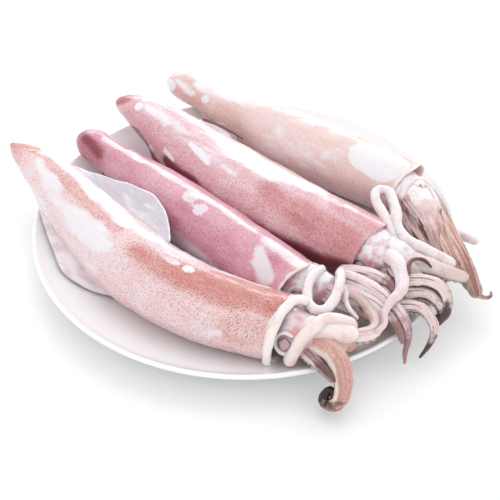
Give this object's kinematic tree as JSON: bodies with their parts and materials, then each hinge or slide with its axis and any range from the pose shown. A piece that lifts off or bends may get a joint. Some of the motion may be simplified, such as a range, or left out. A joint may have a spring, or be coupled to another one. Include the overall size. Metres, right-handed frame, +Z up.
{
  "type": "whole raw squid on a plate",
  "caption": "Whole raw squid lying side by side on a round white plate: pointed mantles with thin fins, eyed heads, and curling arms and tentacles over the rim.",
  "frame": {"origin": "on the table, under the middle of the plate", "axes": "+Z up, +X from the squids' pointed tips towards their arms, +Y from the front squid towards the back one"},
  "size_m": [0.2948, 0.2598, 0.0479],
  "materials": {
    "porcelain": "white glazed porcelain",
    "skin_front": "wet raw squid, peach pink with fine red-brown speckles",
    "skin_second": "wet raw squid, dark rose pink",
    "skin_third": "wet raw squid, rose pink",
    "skin_back": "wet raw squid, pale cream pink"
  },
  "bodies": {
    "root": {"plate": "porcelain", "squid_front": "skin_front", "squid_second": "skin_second", "squid_third": "skin_third", "squid_back": "skin_back"}
  },
  "joints": []
}
